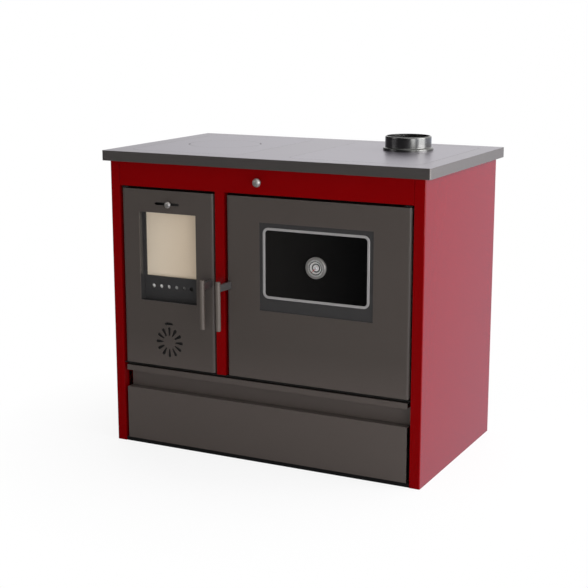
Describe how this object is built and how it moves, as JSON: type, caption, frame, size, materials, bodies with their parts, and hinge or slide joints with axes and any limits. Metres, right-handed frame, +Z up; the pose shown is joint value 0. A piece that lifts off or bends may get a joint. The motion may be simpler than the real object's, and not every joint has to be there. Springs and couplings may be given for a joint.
{
  "type": "wood cookstove",
  "caption": "Red wood-burning cookstove with a glazed fire door, an oven door with a dial thermometer, a wood drawer, a steel cooking top with a lift-off lid, and a flue collar.",
  "frame": {"origin": "on the floor, at the centre of the outline's box", "axes": "+X to the oven side, +Y from the doors to the back, +Z up"},
  "size_m": [0.984, 0.6395, 0.89],
  "materials": {
    "red_enamel": "gloss",
    "anthracite_paint": "satin",
    "black_paint": "satin",
    "hob_steel": "ground",
    "mill_steel": "rolled",
    "oven_enamel": "gloss",
    "zinc_sheet": "spangled",
    "grate_iron": "as cast",
    "collar_enamel": "gloss enamel",
    "fire_board": "matte",
    "chrome": "polished",
    "satin_steel": "satin",
    "fire_glass": "sooted",
    "oven_glass": "tinted",
    "lens_glass": "clear",
    "rope_seal": "braided",
    "dial_face": "satin",
    "needle_paint": "satin"
  },
  "bodies": {
    "stove_body": {"base_tray": "black_paint", "left_side_panel": "red_enamel", "right_side_panel": "red_enamel", "back_panel": "zinc_sheet", "back_panel_screws": "zinc_sheet", "top_rail": "red_enamel", "mullion": "red_enamel", "deck": "black_paint", "body_front_plate": "black_paint", "inner_shell": "mill_steel", "fire_partition": "mill_steel", "flue_baffle": "mill_steel", "oven_box": "oven_enamel", "oven_rack": "chrome", "grate_frame": "grate_iron", "grate": "grate_iron", "fire_bricks": "fire_board", "ash_pan": "mill_steel", "top_frame": "hob_steel", "hob_plate_left": "hob_steel", "hob_plate_right": "hob_steel", "flue_collar": "collar_enamel", "drawer_rails": "zinc_sheet", "hinge_pins": "satin_steel", "hinge_lugs": "black_paint", "damper_guide": "satin_steel"},
    "lid_body": {"hob_lid": "hob_steel"},
    "damper_body": {"damper_rod": "satin_steel", "damper_knob": "chrome", "damper_plate": "mill_steel"},
    "fire_door_body": {"fire_door_skin": "anthracite_paint", "fire_door_liner": "anthracite_paint", "fire_window_frame": "anthracite_paint", "fire_glass": "fire_glass", "fire_glass_gasket": "rope_seal", "fire_glass_clips": "mill_steel", "air_deflector": "mill_steel", "fire_door_seal": "rope_seal"},
    "air_slide_body": {"air_slide_plate": "mill_steel", "air_slide_knob": "chrome"},
    "register_body": {"air_register": "mill_steel"},
    "fire_handle_body": {"fire_handle_arm": "satin_steel", "fire_handle_grip": "satin_steel", "fire_latch": "satin_steel"},
    "oven_door_body": {"oven_door_skin": "anthracite_paint", "oven_door_liner": "anthracite_paint", "oven_window_plate": "black_paint", "oven_window_trim": "satin_steel", "oven_glass": "oven_glass", "oven_glass_retainer": "black_paint", "oven_door_seal": "rope_seal", "thermometer_case": "chrome", "thermometer_dial": "dial_face", "thermometer_lens": "lens_glass"},
    "needle_body": {"thermometer_needle": "needle_paint"},
    "oven_handle_body": {"oven_handle_arm": "satin_steel", "oven_handle_grip": "satin_steel", "oven_latch": "satin_steel"},
    "drawer_body": {"drawer_front": "anthracite_paint", "drawer_box": "zinc_sheet"}
  },
  "joints": [
    {"name": "fire_door_hinge", "type": "hinge", "parent": "stove_body", "child": "fire_door_body", "pos_m": [-0.4285, -0.24575, 0.49], "axis": [0, 0, -1], "range_deg": [0, 105]},
    {"name": "oven_door_hinge", "type": "hinge", "parent": "stove_body", "child": "oven_door_body", "pos_m": [0.4285, -0.24575, 0.49], "axis": [0, 0, 1], "range_deg": [0, 105]},
    {"name": "fire_handle_turn", "type": "hinge", "parent": "fire_door_body", "child": "fire_handle_body", "pos_m": [-0.1515, -0.25575, 0.4975], "axis": [0, 1, 0], "range_deg": [0, 90]},
    {"name": "oven_handle_turn", "type": "hinge", "parent": "oven_door_body", "child": "oven_handle_body", "pos_m": [-0.092, -0.25575, 0.4975], "axis": [0, -1, 0], "range_deg": [0, 90]},
    {"name": "air_slide_shift", "type": "slide", "parent": "fire_door_body", "child": "air_slide_body", "axis": [1, 0, 0], "range_m": [-0.0425, 0.0255]},
    {"name": "air_register_turn", "type": "hinge", "parent": "fire_door_body", "child": "register_body", "pos_m": [-0.2905, -0.25575, 0.313], "axis": [0, 1, 0], "range_deg": [0, 15]},
    {"name": "thermometer_needle_turn", "type": "hinge", "parent": "oven_door_body", "child": "needle_body", "pos_m": [0.17025, -0.25575, 0.56825], "axis": [0, 1, 0], "range_deg": [0, 270]},
    {"name": "drawer_slide", "type": "slide", "parent": "stove_body", "child": "drawer_body", "axis": [0, -1, 0], "range_m": [0, 0.4]},
    {"name": "damper_pull", "type": "slide", "parent": "stove_body", "child": "damper_body", "axis": [0, -1, 0], "range_m": [0, 0.07]},
    {"name": "hob_lid_lift", "type": "slide", "parent": "stove_body", "child": "lid_body", "axis": [0, 0, 1], "range_m": [0, 0.06]}
  ]
}
